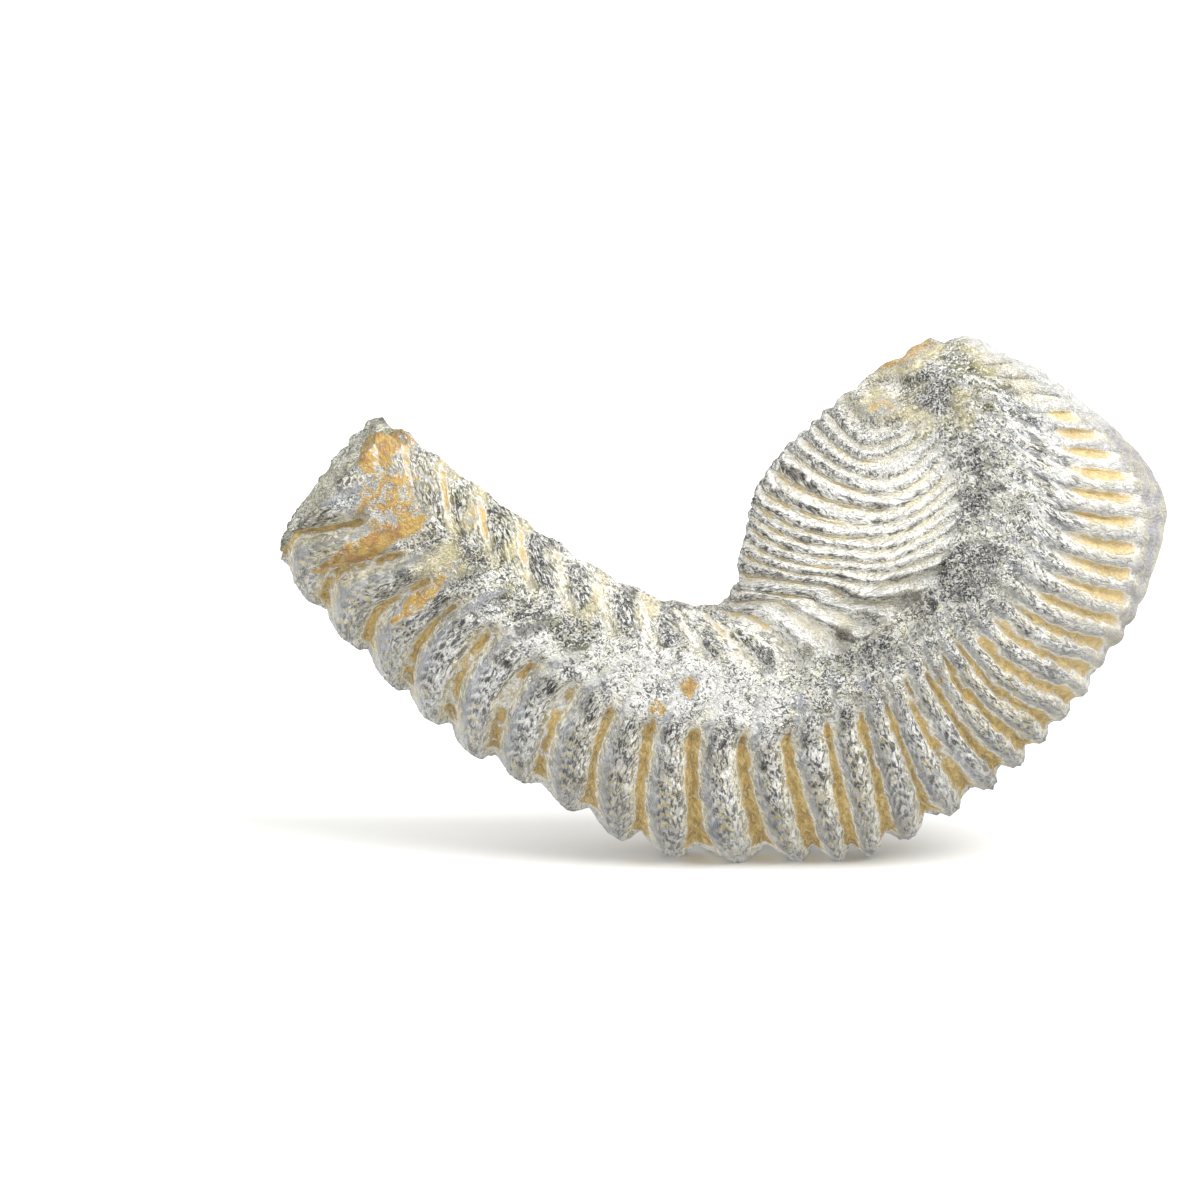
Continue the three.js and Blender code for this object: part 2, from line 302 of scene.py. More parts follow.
# Rings: spaced along the line half-way to the inner margin, and by how the ribs' start and tips change. The
# outer margin belongs in place of those two: as it is, outer ribs 15 to 22 get only 5 or 6 rings each
fine = np.linspace(shell["firstRib"], ends.mean(), 3000)
rows = growthAt(fine)
step = 0.6 * np.linalg.norm(np.diff(rows[:, [column["start"], column["tips"]]], axis=0), axis=1)
step += 0.4 * np.linalg.norm(np.diff(rows[:, column["innerMiddle"]], axis=0), axis=1)
length = runningLength(step)
shellRings = shell["rings"] - 1 - breakEnd["rings"]
along = np.interp(np.linspace(0, length[-1], shellRings), length, fine)
along = (along - along[0]) / (along[-1] - along[0])
ribs = shell["firstRib"] + along[:, None] * (ends - shell["firstRib"])[None, :]
points, traits = shellSurface(ribs, np.broadcast_to(angles, ribs.shape))
print("shell surface made")

# The broken face runs from the last ring to its middle
rim = points[-1]
middle = rim.mean(axis=0)
inward = np.arange(1, breakEnd["rings"] + 1) / (breakEnd["rings"] + 1)
face = middle + (rim - middle)[None] * (1 - inward[:, None, None])
facePoints = face.reshape(-1, 3)
rimDistance = (np.linalg.norm(rim - middle, axis=1)[None] * inward[:, None]).reshape(-1)
wall = smooth(rimDistance, 2.4, 1.4)            # the shell wall stands a little proud of the fill
coarse = lumpNoise(facePoints, 5, 4, 9.0)
flaky = np.round(coarse * 5) / 5
bulge = mix(coarse, flaky, 0.5) * breakEnd["rough"] + breakEnd["wall"] * wall
bulge = bulge + 0.12 * lumpNoise(facePoints, 1.0, 3, 2.0)
facePoints = facePoints + facing * (bulge * smooth(rimDistance, 0.0, 0.8))[:, None]
face = facePoints.reshape(face.shape)

grid = np.concatenate([points, face])            # rings 1 to rings - 1, in order
tipX, tipZ = growthAt(np.array([shell["firstRib"]]))[0][column["ridge"]]
poleStart = np.array([tipX, 0, tipZ + 0.05])
poleEnd = face[-1].mean(axis=0)
moved = np.empty_like(places)
moved[~isPole] = grid[ringOf[~isPole] - 1, segmentOf[~isPole]]
moved[ringOf == 0] = poleStart
moved[ringOf == shell["rings"]] = poleEnd
moved = (moved + np.array(shell["shift"])) * 0.001
mesh.vertices.foreach_set("co", moved.reshape(-1))
mesh.update()
print("vertices placed", len(mesh.vertices), "triangles", sum(len(p.vertices) - 2 for p in mesh.polygons))


def perVertex(values, faceValue=0.0):
    # values on the shell's rings, one number for the broken face
    full = np.concatenate([values, np.full((breakEnd["rings"], shell["segments"]), faceValue)])
    out = np.empty(len(mesh.vertices))
    out[~isPole] = full[ringOf[~isPole] - 1, segmentOf[~isPole]]
    out[ringOf == 0] = values[0].mean()
    out[ringOf == shell["rings"]] = faceValue
    return out


# Masks of what lies on the shell: distances in mm, angles in degrees from the ridge (0) to the margin (90)
trait = {name: perVertex(values) for name, values in traits.items()}
isFace = perVertex(np.zeros_like(ribs), 1.0)
xyz = moved * 1000
rib, inner, fromRidge = trait["rib"], trait["inner"], trait["fromRidge"]
outer, front, away, across = trait["outer"], trait["front"], trait["away"], trait["across"]
big = lumpNoise(xyz, 7, 4, 1.0)
medium = lumpNoise(xyz, 2.2, 4, 3.0)

# Clay left in the grooves. Rows: rib, from and to which angle it reaches, how much, share of the pitch
clayReach = np.array([
    (0, 40, 50, 0, 0.2), (4, 36, 50, 0.3, 0.25), (5.5, 30, 50, 0.95, 0.42), (8, 27, 50, 1, 0.47),
    (11, 23, 51, 1, 0.49), (13, 20, 55, 1, 0.48), (15, 17, 62, 1, 0.4), (17, 10, 74, 1, 0.32),
    (19, 6, 84, 1, 0.28), (22, 6, 92, 1, 0.23), (24, 9, 94, 1, 0.25), (28, 9, 94, 1, 0.25),
    (31, 10, 94, 1, 0.21), (34, 8, 94, 1, 0.2), (38, 4, 94, 1, 0.22),
])
clayFrom, clayTo, clayAmount, clayWide = (
    np.interp(rib, clayReach[:, 0], clayReach[:, k]) for k in (1, 2, 3, 4))
band = smooth(fromRidge, clayFrom - 4, clayFrom + 9) * (1 - smooth(fromRidge, clayTo - 6, clayTo + 12))
edge = 1 - clayWide * mix(0.4, 1, band) * mix(1, 1.7, smooth(fromRidge, 45, 85)) + 0.1 * medium
clayOuter = smooth(away, edge - 0.12, edge + 0.14) * band * clayAmount
innerClay = np.interp(inner, [0, 3, 5, 9, 14, 17, 20, 24, 26, 30],
                      [0, 0.5, 0.8, 0.9, 0.9, 0.7, 0.3, 0.8, 1, 1])
onFan = trait["fan"]
clayInner = smooth(away, mix(0.6, 0.84, onFan), 0.97) * innerClay * smooth(fromRidge, 14, 34)
clay = np.where(outer > 0.5, clayOuter, clayInner) * np.clip(1 + 0.3 * big, 0.4, 1)
clay = clay * mix(1, np.clip(0.75 + 0.9 * medium, 0.3, 1), smooth(rib, 28, 31))
halo = np.where(outer > 0.5, smooth(away, edge - 0.35, edge + 0.05) * band * clayAmount,
                smooth(away, 0.45, 0.95) * innerClay * smooth(fromRidge, 2, 14))
paleClay = np.where(outer > 0.5, 1 - smooth(rib, 14, 21), 0.35)
paleCrest = np.where(outer > 0.5, 1 - smooth(rib, 14, 19), 0) * smooth(fromRidge, 20, 32) * 0.85

# The rough strip along the ridge, the fine striae beside it and the rubbed margin of the lobe
strip = smooth(fromRidge, 15, 6) * front * smooth(rib, 3, 5) * (1 - smooth(rib, 22, 26))
strip = strip * (1 - trait["fan"])
striae = outer * front * smooth(rib, 2.5, 4.5) * (1 - smooth(rib, 14, 17)) \
    * smooth(fromRidge, 8, 14) * (1 - smooth(fromRidge, trait["startAngle"], trait["startAngle"] + 14))
worn = smooth(rib, 4, 7) * (1 - smooth(rib, 15, 17.5)) * outer * smooth(fromRidge, 48, 60)
print("masks made")


def displace(name, size, strength, detail, group=""):
    texture = bpy.data.textures.new(name, "CLOUDS")
    texture.noise_scale = size
    texture.noise_depth = detail
    modifier = fossil.modifiers.new(name, "DISPLACE")
    modifier.texture = texture
    modifier.texture_coords = "LOCAL"
    modifier.strength = strength
    modifier.mid_level = 0.5
    modifier.vertex_group = group
    bpy.ops.object.modifier_apply(modifier=name)


def vertexGroup(name, weights):
    group = fossil.vertex_groups.new(name=name)
    for level in range(1, 11):       # ten levels are enough for roughness
        members = np.nonzero(np.rint(weights * 10) == level)[0]
        group.add(members.tolist(), level / 10, "REPLACE")
    return group.name


# Surface of the weathered calcite: soft lumps, then crust and pits where it isn't rubbed or filled. Sizes
# and strengths are in metres
rough = np.clip(0.5 + 0.5 * strip + 0.2 * striae - 0.35 * worn - 0.4 * clay + 0.3 * isFace, 0.05, 1)
roughGroup = vertexGroup("rough", rough)
displace("lumps", 0.006, 0.0007, 2)
displace("crustLumps", 0.0018, 0.0008, 3, roughGroup)
displace("pitting", 0.0007, 0.0006, 2, roughGroup)
fossil.vertex_groups.clear()

# The rib tips that carry the shell are worn flat
mesh.vertices.foreach_get("co", places.reshape(-1))
finished = places.copy().reshape(-1, 3)
finished[:, 2] = np.maximum(finished[:, 2], 0)
mesh.vertices.foreach_set("co", finished.reshape(-1))
mesh.update()
bpy.ops.object.shade_smooth()
print("surface roughened")

# Hollows and bumps of the finished surface, from how far a point lies under its neighbours. The hollows get
# painted shade
normals = np.empty(len(mesh.vertices) * 3)
mesh.vertices.foreach_get("normal", normals)
normals = normals.reshape(-1, 3)
gridShape = (shell["rings"] - 1, shell["segments"])
gridIndex = np.empty(gridShape, dtype=int)
gridIndex[ringOf[~isPole] - 1, segmentOf[~isPole]] = np.nonzero(~isPole)[0]
onGrid = finished[gridIndex] * 1000


def hollowAt(reach, full):
    # reach is in steps of the grid, and a hollow this many mm deep counts as 1
    padded = np.concatenate([onGrid[:1].repeat(reach, 0), onGrid, onGrid[-1:].repeat(reach, 0)])
    around = padded[2 * reach:] + padded[:-2 * reach] + np.roll(onGrid, reach, 1) + np.roll(onGrid, -reach, 1)
    lift = ((around / 4 - onGrid) * normals[gridIndex]).sum(-1)
    out = np.zeros(len(mesh.vertices))
    out[gridIndex] = np.clip(lift / full, -1, 1)
    return out


hollow = hollowAt(2, 0.25) * 0.5 + hollowAt(5, 0.6) * 0.5


def setAttribute(name, x, y, z):
    attribute = mesh.attributes.new(name, "FLOAT_VECTOR", "POINT")
    attribute.data.foreach_set("vector", np.stack([x, y, z], axis=-1).astype(np.float32).reshape(-1))


# Coloured places on the front, in millimetres: x, z, half width, half height, turn in degrees, how strong
marks = {
    "orange": [
        (-31.5, 39.3, 2.4, 2.2, -20, 1.3), (-29.3, 39.5, 1.6, 1.2, -35, 0.9), (-30.3, 34, 3.2, 2.4, 40, 0.9),
        (-31.8, 30.2, 5.0, 0.9, 28, 1.6), (-27.3, 25.5, 3.6, 0.7, 45, 1.2), (14.3, 42.3, 1.7, 0.8, 10, 0.8),
        (-3.2, 17.4, 0.8, 1.0, 0, 1), (-6.0, 15.5, 0.7, 0.8, 20, 1), (16.8, 46.9, 3.8, 0.7, 28, 0.8),
        (19.4, 18.5, 0.4, 1.2, 10, 0.9), (-24.5, 37.5, 0.7, 1.4, -20, 0.6), (-22.6, 32.9, 0.5, 0.8, -20, 0.8),
    ],
    "straw": [
        (16.8, 46.6, 4.2, 1.3, 28, 1), (14.3, 42.4, 2.6, 1.3, 10, 1), (17.6, 41.5, 2.0, 1.0, -20, 0.8),
        (21.4, 42.6, 1.0, 2.0, 0, 0.5), (25.5, 45.3, 4.0, 1.2, -35, 0.6), (-30, 35, 3.5, 5.5, 35, 0.3),
        (-25.0, 37.0, 1.2, 2.0, -20, 0.9), (-22.5, 33.2, 0.9, 2.2, -15, 0.8), (-33, 31, 4.5, 1.5, 40, 0.4),
        (-18.5, 30.5, 0.8, 1.8, -30, 0.7), (-25.5, 28.6, 2.6, 1.6, 45, 0.8),
        (-11.5, 25.3, 0.7, 1.6, -30, 0.8), (-6.8, 23.9, 0.9, 1.3, -30, 0.9),
    ],
    "dark": [
        (18.2, 44.9, 2.1, 0.9, 0, 1.4), (19.5, 43.7, 2.0, 1.5, 20, 1.7), (17.4, 43.4, 1.7, 1.0, 0, 1.3),
        (21.4, 27.8, 3.0, 2.2, 30, 1.1), (23.3, 29.3, 1.8, 1.4, 30, 0.8), (17.5, 24.0, 3.5, 1.8, 35, 0.5),
        (13.0, 20.5, 3.0, 1.6, 30, 0.5), (22.0, 34.5, 1.6, 1.6, 0, 0.7), (23.2, 38.2, 1.6, 1.3, -30, 0.7),
        (3.8, 20.4, 0.8, 0.7, -30, 0.9), (-20.6, 31.8, 1.5, 1.8, 20, 0.8),
        (-16.5, 28.9, 1.6, 2.0, 25, 0.95), (-13.4, 26.6, 1.1, 1.4, 25, 0.8),
        (-8.4, 23.8, 1.3, 1.8, 25, 1), (-4.4, 22.5, 1.5, 1.6, 20, 0.9), (-0.8, 21.7, 1.0, 1.2, 10, 0.7),
        (-30.6, 39.5, 0.8, 0.6, 20, 1), (14.3, 44.1, 1.1, 1.0, 0, 0.6), (-29.5, 36.2, 1.0, 1.8, 30, 0.6),
        (-24.4, 32.6, 1.3, 1.1, 20, 0.8), (24.2, 35.6, 0.8, 0.7, 0, 0.7), (22.3, 37.0, 1.3, 1.0, -30, 0.5),
        (-17.1, 23.5, 1.7, 1.5, 20, 0.9), (-13.5, 22.2, 2.0, 1.3, -10, 0.85),
        (-22.9, 26.5, 1.6, 1.3, 20, 0.6), (-22.6, 29.8, 1.6, 2.8, 20, 0.85),
        (-19.5, 25.2, 1.4, 1.1, 0, 0.6), (-26.6, 31.0, 1.4, 1.9, 20, 0.8),
    ],
    "olive": [
        (22.5, 46.1, 4.5, 1.7, -38, 1.1), (18.9, 40.4, 1.9, 1.3, 0, 1), (21.5, 43.2, 1.2, 2.8, 15, 0.7),
        (-36.8, 33.6, 1.5, 6.5, 38, 0.5), (-24.3, 34.4, 1.0, 3.6, 25, 1), (-23.8, 33.2, 2.4, 2.0, 30, 0.9),
        (-27.5, 35.6, 3.5, 3.0, 20, 0.7),
        (-12.5, 22.5, 3.5, 2.4, -30, 0.6), (-21, 30, 4.5, 2.6, 40, 0.9), (-17.5, 26.5, 3.5, 2.3, -35, 0.8),
        (-27, 25, 5, 2.5, -40, 0.45), (-34, 29, 4, 2, -40, 0.4), (23.5, 44.0, 3.5, 1.5, -38, 0.7),
    ],
    "crust": [
        (-3.1, 19.6, 8.5, 3.4, -12, 1), (-13.8, 26.0, 6.5, 2.2, -32, 0.5), (6.7, 22.6, 4.5, 2.2, -10, 0.6),
        (2.5, 18.0, 3.0, 2.4, 0, 0.9),
    ],
}


def markMask(kind, soft):
    total = np.zeros(len(mesh.vertices))
    for x, z, wide, high, turn, strength in marks[kind]:
        dx, dz = xyz[:, 0] - x, xyz[:, 2] - z
        c, s = math.cos(math.radians(turn)), math.sin(math.radians(turn))
        reach = np.hypot((dx * c + dz * s) / wide, (dz * c - dx * s) / high) + 0.35 * medium
        total = np.maximum(total, smooth(reach, 1 + soft, 1 - soft) * strength)
    return total * (xyz[:, 1] < 3)      # none on the back valve


onRidge = strip * np.clip(0.35 + 0.3 * medium + 0.2 * big, 0, 1) * 0.7
lowRidge = smooth(rib, 15, 18) * (1 - smooth(rib, 24, 27)) * smooth(fromRidge, 18, 8) * front
onRidge = np.maximum(onRidge, lowRidge * np.clip(0.45 + 0.3 * medium, 0, 1) * 0.7)
dark = np.maximum(markMask("dark", 0.25), onRidge)
armDark = smooth(rib, 24.5, 26) * (1 - outer) * front * smooth(away, 0.66, 0.3) \
    * smooth(fromRidge, 6, 18) * (1 - smooth(fromRidge, 50, 70)) * np.clip(0.7 + 0.9 * medium, 0, 1.1)
pastStart = across - trait["start"] - 0.1 * away**2
heads = outer * front * smooth(rib, 22.5, 24) * (1 - smooth(rib, 35, 37)) * smooth(away, 0.66, 0.35) \
    * smooth(pastStart, 0.0, 0.04) * (1 - smooth(pastStart, 0.12, 0.3))
dark = np.maximum(dark, np.maximum(armDark, heads * np.clip(0.75 + 0.5 * medium, 0, 1) * 0.8))
aboveHeads = smooth(rib, 24, 26) * (1 - smooth(rib, 32, 34)) * outer * front * smooth(pastStart, 0.01, -0.03)
crust = np.maximum(markMask("crust", 0.35), aboveHeads * 0.65)
crust = np.maximum(crust, smooth(rib, 25, 27) * (1 - smooth(rib, 32, 36)) * (1 - outer) * 0.5 * (1 - armDark))
crust = np.maximum(crust, (1 - front) * 0.35 * np.clip(0.5 + big, 0, 1)) * (1 - 0.8 * clay)
olive = np.maximum(markMask("olive", 0.4), 0.6 * smooth(rib, 36, 37.2) * np.clip(0.7 + medium, 0, 1))
arc = {"bend": 5, "power": 1.5, "widest": 0.6}      # how far a growth line falls back beside the crest, in mm
arcMm = trait["mmFromRidge"] - arc["bend"] * np.minimum(away, arc["widest"]) ** arc["power"]
arcPlace = outer * smooth(away, 0.5, 0.25) * smooth(rib, 16, 19) * np.clip(0.8 + 1.2 * medium, 0, 1) \
    * smooth(across, trait["start"] + 0.16, trait["start"] + 0.36) * (1 - smooth(across, 0.86, 0.98))
setAttribute("ribWave", np.sin(2 * np.pi * trait["number"]), np.cos(np.pi * away), across)
setAttribute("coat", clay, crust, dark)
setAttribute("stain", markMask("orange", 0.35), olive, isFace)
# x the rubbed margin, y how hollow a point is (for the painted shade in the hollows), z the fan
setAttribute("wear", worn, hollow, trait["fan"])
setAttribute("growthLine", arcMm, arcPlace, outer)
setAttribute("stripes", strip, striae, fromRidge / 90)

# Millimetres along the shell and along the rib, for marks that are drawn out along the ribs
ribLine = np.linspace(0, 39, 400)
lineRows = growthAt(ribLine)
outerLine = np.stack([lineRows[:, column["outerMargin"]], lineRows[:, column["outerMiddle"]]]).mean(0)
innerLine = lineRows[:, column["innerMiddle"]]
outerLength, innerLength = (
    runningLength(np.linalg.norm(np.diff(line, axis=0), axis=1)) for line in (outerLine, innerLine))
alongShell = np.where(outer > 0.5, np.interp(trait["number"], ribLine, outerLength),
                      np.interp(trait["number"], lineRows[:, column["innerRib"]], innerLength))
ordered = smooth(fromRidge, 9, 18) * (1 - 0.7 * np.clip(crust, 0, 1)) * (1 - isFace) * smooth(rib, 6, 9) \
    * (1 - 0.6 * worn)
setAttribute("ribPlace", alongShell, trait["mmFromRidge"], 30 * outer + 0.4 * xyz[:, 1])
setAttribute("fibre", ordered, ordered, ordered)
halo = np.maximum(halo, markMask("straw", 0.35))
setAttribute("clayKind", halo, paleClay, paleCrest)
print("attributes set")


# Calcite shell weathered to chalk: dull, pale and dusty, wrinkled and pitted, with ochre clay in the grooves
chalk = {
    "pale": "#e0dfd7",
    "grey": "#adadad",
    "shade": "#3b3b3c",
    "darkGrey": "#6b6c6f",
    "white": "#fbfaf4",
    "blueGrey": "#acafb6",
    "cream": "#ece6cb",
    "rubbed": "#c9c3af",
    "straw": "#e6d9a8",
    "clay": "#c6a863",
    "clayPale": "#d6bd87",
    "clayDark": "#94783f",
    "orange": "#b5803a",
    "ochre": "#cfa850",
    "olive": "#8a875f",
    "lilac": "#a9a5ab",
    "fill": "#a3a084",
    "vein": "#eae6c2",
    # painted shade, for the hollows and the foot of the fan's terraces
    "paintedShade": "#6d6454",
}
paint = {name: linear(value) for name, value in chalk.items()}
material = bpy.data.materials.new("weatheredChalkyShell")
material.use_nodes = True
tree = material.node_tree
tree.nodes.clear()


def addNode(kind, inputs, out=0, **settings):
    # one node with its settings; an input is a value or another node's output
    node = tree.nodes.new("ShaderNode" + kind)
    for key, value in settings.items():
        setattr(node, key, value)
    for key, value in inputs.items():
        if isinstance(value, bpy.types.NodeSocket):
            tree.links.new(value, node.inputs[key])
        else:
            node.inputs[key].default_value = value
    return node.outputs[out] if node.outputs else node


soft = {"interpolation_type": "SMOOTHSTEP"}
over = {"out": 2, "data_type": "RGBA", "clamp_factor": True}
times = {"operation": "MULTIPLY", "use_clamp": True}
plus = {"operation": "MULTIPLY_ADD"}

fields = {}
for name in ("ribWave", "coat", "stain", "wear", "growthLine", "stripes", "clayKind", "fibre"):
    vector = addNode("Attribute", {}, 1, attribute_name=name)
    fields[name] = [addNode("SeparateXYZ", {0: vector}, k) for k in range(3)]
waveSin, waveCos, acrossShell = fields["ribWave"]
clayField, crustField, darkField = fields["coat"]
orangeField, oliveField, faceField = fields["stain"]
wornField, hollowField, fanField = fields["wear"]
arcField, arcPlaceField, outerField = fields["growthLine"]
stripField, striaeField, angleField = fields["stripes"]
haloField, paleClayField, paleCrestField = fields["clayKind"]
fibreField = fields["fibre"][0]

# Places in millimetres, and the same squeezed along the striae, which run down to the right
coords = addNode("TexCoord", {}, "Object")
mm = addNode("Mapping", {"Vector": coords, "Scale": (1000, 1000, 1000)})
turned = addNode("Mapping", {"Vector": mm, "Rotation": (0, math.radians(-42), 0)})
alongStriae = addNode("Mapping", {"Vector": turned, "Scale": (0.3, 1, 1)})

cloudy = addNode("TexNoise", {"Vector": mm, "Scale": 0.14, "Detail": 3, "Roughness": 0.5})
mottle = addNode("TexNoise", {"Vector": mm, "Scale": 0.6, "Detail": 6, "Roughness": 0.65, "Distortion": 0.4})
ribPlace = addNode("Attribute", {}, 1, attribute_name="ribPlace")
alongRibs = addNode("Mapping", {"Vector": ribPlace, "Scale": (1.1, 0.5, 1)})
fibres = addNode("TexNoise", {
    "Vector": alongRibs, "Scale": 2.8, "Detail": 1, "Roughness": 0.6, "Distortion": 1.0})
grains = addNode("TexNoise", {"Vector": mm, "Scale": 2.6, "Detail": 1, "Roughness": 0.6, "Distortion": 1.6})
wrinkle = addNode("Mix", {0: fibreField, 2: grains, 3: fibres}, data_type="FLOAT")
thread = addNode("TexNoise", {"Vector": mm, "Scale": 3.0, "Detail": 2, "Roughness": 0.5, "Distortion": 2.0})
grit = addNode("TexNoise", {"Vector": mm, "Scale": 3.6, "Detail": 3, "Roughness": 0.65})
streak = addNode("TexNoise", {
    "Vector": alongStriae, "Scale": 1.5, "Detail": 4, "Roughness": 0.6, "Distortion": 0.5})
patch = addNode("TexNoise", {"Vector": mm, "Scale": 0.34, "Detail": 2, "Roughness": 0.5, "Distortion": 0.7})
mottleOff = addNode("Math", {0: mottle, 1: 0.5}, operation="SUBTRACT")
wrinkleOff = addNode("Math", {0: wrinkle, 1: 0.5}, operation="SUBTRACT")

# Grey and pale calcite in patches
patches = addNode("MapRange", {0: mottle, 1: 0.38, 2: 0.6}, **soft)
color = addNode("Mix", {0: patches, 6: paint["grey"], 7: paint["pale"]}, **over)
creamy = addNode("MapRange", {0: cloudy, 1: 0.45, 2: 0.6, 4: 0.4}, **soft)
color = addNode("Mix", {0: creamy, 6: color, 7: paint["cream"]}, **over)

# Outer ribs: speckled white crests. The flank away from the lobe is bare blue-grey calcite, and its grey is
# partly painted shade for the side turned from the key light
halfTurn = addNode("Math", {0: waveCos}, operation="ARCCOSINE")
awayField = addNode("Math", {0: halfTurn, 1: math.pi}, operation="DIVIDE")
turnPhase = addNode("Math", {0: waveSin, 1: waveCos}, operation="ARCTAN2")
phase = addNode("Math", {0: turnPhase, 1: 2 * math.pi}, operation="DIVIDE")
phaseNoisy = addNode("Math", {0: wrinkleOff, 1: 0.35, 2: phase}, **plus)
crest = addNode("MapRange", {0: awayField, 1: 0.72, 2: 0.3}, **soft)
crestGrey = addNode("MapRange", {0: mottle, 1: 0.6, 2: 0.42, 3: 0.05, 4: 0.7}, **soft)
crestOuter = addNode("Math", {0: crest, 1: outerField}, **times)
crestAmount = addNode("Math", {0: crestOuter, 1: crestGrey}, **times)
color = addNode("Mix", {0: crestAmount, 6: color, 7: paint["blueGrey"]}, **over)
paleAmount = addNode("Math", {0: paleCrestField, 1: 0.9}, **times)
color = addNode("Mix", {0: paleAmount, 6: color, 7: paint["white"]}, **over)
# Blue-grey on one flank of each outer rib: partly the calcite's own colour, partly painted shade
flankFrom = addNode("MapRange", {0: phaseNoisy, 1: 0.06, 2: 0.17}, **soft)
flankTo = addNode("MapRange", {0: phaseNoisy, 1: 0.4, 2: 0.3, 4: 0.85}, **soft)
greyShadedFlank = addNode("Math", {0: flankFrom, 1: flankTo}, **times)
greyShadedFlank = addNode("Math", {0: greyShadedFlank, 1: outerField}, **times)
greyShadedFlankStrength = addNode("Math", {0: paleCrestField, 1: -0.8, 2: 1}, **plus)
greyShadedFlank = addNode("Math", {0: greyShadedFlank, 1: greyShadedFlankStrength}, **times)
color = addNode("Mix", {0: greyShadedFlank, 6: color, 7: paint["blueGrey"]}, **over)
lowHalf = addNode("MapRange", {0: acrossShell, 1: 0.6, 2: 0.88}, **soft)
lowHalf = addNode("Math", {0: lowHalf, 1: outerField}, **times)
lowGrey = addNode("Math", {0: lowHalf, 1: 0.35}, **times)
color = addNode("Mix", {0: lowGrey, 6: color, 7: paint["blueGrey"]}, **over)
tipAmount = addNode("MapRange", {0: acrossShell, 1: 0.78, 2: 0.98, 4: 0.5}, **soft)
tipAmount = addNode("Math", {0: tipAmount, 1: outerField}, **times)
color = addNode("Mix", {0: tipAmount, 6: color, 7: paint["white"]}, **over)

# Terraces of the fan: cream above, speckled grey below, a thin dark line at the foot. The cream upper slope
# is partly a painted highlight and the grey underside partly painted shade, as if lit from above; the dark
# foot line is a painted shadow
lower = addNode("MapRange", {0: angleField, 1: 0.7, 2: 0.2, 3: -0.14, 4: 0.1}, **soft)
fromEdge = addNode("Math", {0: phaseNoisy, 1: lower}, operation="SUBTRACT")
under = addNode("MapRange", {0: fromEdge, 1: -0.03, 2: 0.05}, **soft)
underFan = addNode("Math", {0: under, 1: fanField}, **times)
underPaint = addNode("Mix", {0: angleField, 6: paint["pale"], 7: paint["grey"]}, **over)
color = addNode("Mix", {0: underFan, 6: color, 7: underPaint}, **over)
aboveEdge = addNode("MapRange", {0: fromEdge, 1: 0.02, 2: -0.06, 4: 0.85}, **soft)
aboveFan = addNode("Math", {0: aboveEdge, 1: fanField}, **times)
color = addNode("Mix", {0: aboveFan, 6: color, 7: paint["white"]}, **over)

# White crust
crustNoisy = addNode("Math", {0: mottleOff, 1: 1.5, 2: crustField}, **plus)
crustEdge = addNode("MapRange", {0: crustNoisy, 1: 0.42, 2: 0.6, 4: 0.85}, **soft)
color = addNode("Mix", {0: crustEdge, 6: color, 7: paint["white"]}, **over)

# Rough places have bare grey patches in the crust, edged by cream veins. Times 1 only clamps
patchHere = 1
for field, less in ((fanField, 0.95), (crestOuter, 0.8), (striaeField, 0.5), (wornField, 1)):
    patchHere = addNode("Math", {0: field, 1: -less, 2: patchHere}, **plus)
patchHere = addNode("Math", {0: patchHere, 1: 1}, **times)
bare = addNode("MapRange", {0: patch, 1: 0.485, 2: 0.45}, **soft)
bare = addNode("Math", {0: bare, 1: patchHere}, **times)
bareAmount = addNode("Math", {0: bare, 1: 0.5}, **times)
color = addNode("Mix", {0: bareAmount, 6: color, 7: paint["darkGrey"]}, **over)

# Dark rough places, with a pale rim
darkNoisy = addNode("Math", {0: mottleOff, 1: 1.8, 2: darkField}, **plus)
darkNoisy = addNode("Math", {0: wrinkleOff, 1: 1.0, 2: darkNoisy}, **plus)
darkRim = addNode("MapRange", {0: darkNoisy, 1: 0.24, 2: 0.36}, **soft)
darkRimHere = addNode("MapRange", {0: darkField, 1: 0.05, 2: 0.25, 4: 0.5}, **soft)
darkRimAmount = addNode("Math", {0: darkRim, 1: darkRimHere}, **times)
color = addNode("Mix", {0: darkRimAmount, 6: color, 7: paint["cream"]}, **over)
darkEdge = addNode("MapRange", {0: darkNoisy, 1: 0.36, 2: 0.64}, **soft)
darkAmount = addNode("Math", {0: darkEdge, 1: 0.88}, **times)
color = addNode("Mix", {0: darkAmount, 6: color, 7: paint["darkGrey"]}, **over)

# Rubbed margin of the lobe: smooth lilac grey and cream
wornPatch = addNode("MapRange", {0: mottle, 1: 0.42, 2: 0.56}, **soft)
wornPaint = addNode("Mix", {0: wornPatch, 6: paint["lilac"], 7: paint["rubbed"]}, **over)
wornAmount = addNode("Math", {0: wornField, 1: 0.8}, **times)
color = addNode("Mix", {0: wornAmount, 6: color, 7: wornPaint}, **over)

# Olive dust
olivePatch = addNode("MapRange", {0: mottle, 1: 0.4, 2: 0.58}, **soft)
oliveAmount = addNode("Math", {0: olivePatch, 1: oliveField}, **times)
color = addNode("Mix", {0: oliveAmount, 6: color, 7: paint["olive"]}, **over)

# Clay in the grooves is ragged at its edge
clayWarp = addNode("Math", {0: mottleOff, 1: 1.3, 2: clayField}, **plus)
clayNoisy = addNode("Math", {0: wrinkleOff, 1: 0.8, 2: clayWarp}, **plus)

